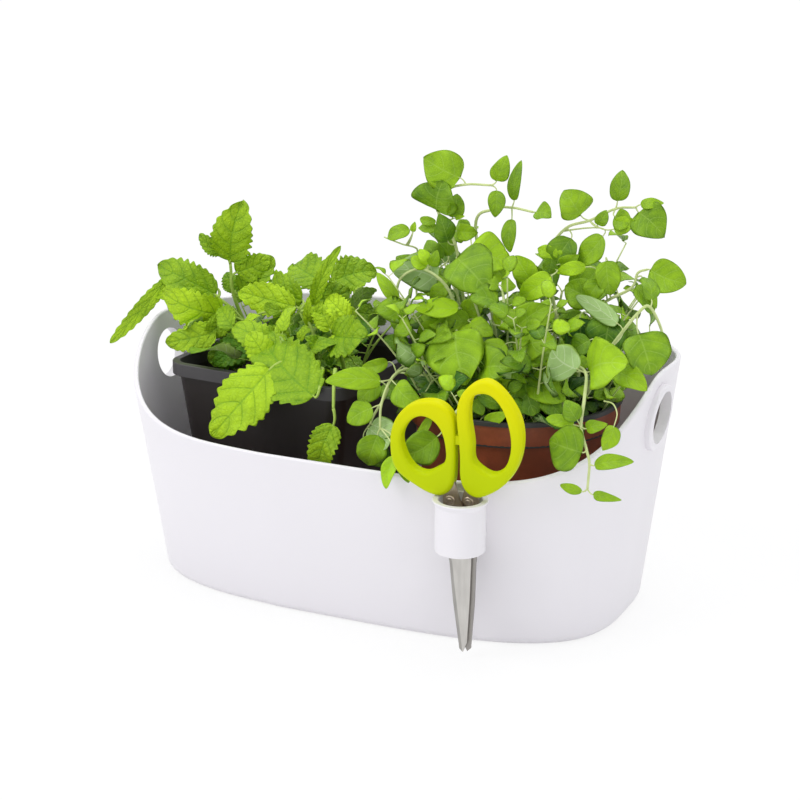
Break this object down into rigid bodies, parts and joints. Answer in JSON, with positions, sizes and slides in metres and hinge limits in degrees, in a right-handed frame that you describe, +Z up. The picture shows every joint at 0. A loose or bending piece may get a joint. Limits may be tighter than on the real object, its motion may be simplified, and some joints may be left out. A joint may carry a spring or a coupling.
{
  "type": "indoor herb planter",
  "caption": "White oval planter tub with sweeping end handles, a scissors sleeve with green herb scissors, and nursery pots of lemon balm and oregano.",
  "frame": {"origin": "middle of the flat underside of the tub", "axes": "+Z up, +X along the length of the tub from the square pot to the round pot, -Y out of the low front wall that carries the scissors sleeve"},
  "size_m": [0.4027, 0.2515, 0.2946],
  "materials": {
    "tub_plastic": "smooth white moulded plastic, satin",
    "blade_steel": "ground stainless steel",
    "handle_plastic": "lime green moulded plastic",
    "screw_steel": "turned stainless steel",
    "dark_pot_plastic": "thin dark brown-black moulded plastic",
    "clay_pot_plastic": "thin terracotta coloured moulded plastic with a dark inside",
    "soil": null,
    "balm_leaf": "bright green crinkled living leaf",
    "oregano_leaf": "mid green living leaf on pale stems"
  },
  "bodies": {
    "planter": {"planter_tub": "tub_plastic", "scissors_holder": "tub_plastic"},
    "scissors_pivot": {"pivot_screw": "screw_steel", "pivot_nut": "screw_steel"},
    "scissors_left": {"blade_front": "blade_steel", "handle_small": "handle_plastic"},
    "scissors_right": {"blade_back": "blade_steel", "handle_large": "handle_plastic"},
    "square_potted_balm": {"square_pot": "dark_pot_plastic", "square_pot_soil": "soil", "balm_sprig_back": "balm_leaf", "balm_sprig_front": "balm_leaf", "balm_sprig_hanging": "balm_leaf", "balm_sprig_left": "balm_leaf", "balm_sprig_middle": "balm_leaf", "balm_sprig_right": "balm_leaf", "balm_sprig_tall": "balm_leaf"},
    "round_potted_oregano": {"round_pot": "clay_pot_plastic", "round_pot_soil": "soil", "oregano_sprig_back": "oregano_leaf", "oregano_sprig_centre": "oregano_leaf", "oregano_sprig_front": "oregano_leaf", "oregano_sprig_front_left": "oregano_leaf", "oregano_sprig_front_right": "oregano_leaf", "oregano_sprig_hanging": "oregano_leaf", "oregano_sprig_left": "oregano_leaf", "oregano_sprig_low": "oregano_leaf", "oregano_sprig_over_ear": "oregano_leaf", "oregano_sprig_right": "oregano_leaf", "oregano_sprig_tall_arc": "oregano_leaf", "oregano_sprig_tall_left": "oregano_leaf", "oregano_sprig_top_right": "oregano_leaf"}
  },
  "joints": [
    {"name": "scissors_lift", "type": "slide", "parent": "planter", "child": "scissors_pivot", "axis": [0, -0.0872, 0.9962], "range_m": [0, 0.17]},
    {"name": "scissors_open_left", "type": "hinge", "parent": "scissors_pivot", "child": "scissors_left", "pos_m": [0.094, -0.11414, 0.08627], "axis": [0, 0.9962, 0.0872], "range_deg": [-11.8, 0]},
    {"name": "scissors_open_right", "type": "hinge", "parent": "scissors_pivot", "child": "scissors_right", "pos_m": [0.094, -0.11414, 0.08627], "axis": [0, 0.9962, 0.0872], "range_deg": [0, 11.8]},
    {"name": "square_pot_lift", "type": "slide", "parent": "planter", "child": "square_potted_balm", "axis": [0, 0, 1], "range_m": [0, 0.16]},
    {"name": "round_pot_lift", "type": "slide", "parent": "planter", "child": "round_potted_oregano", "axis": [0, 0, 1], "range_m": [0, 0.16]}
  ],
  "couplings": [
    {"joint": "scissors_open_left", "follows": "scissors_lift", "rad_per_m": -1.2},
    {"joint": "scissors_open_right", "follows": "scissors_lift", "rad_per_m": 1.2}
  ]
}
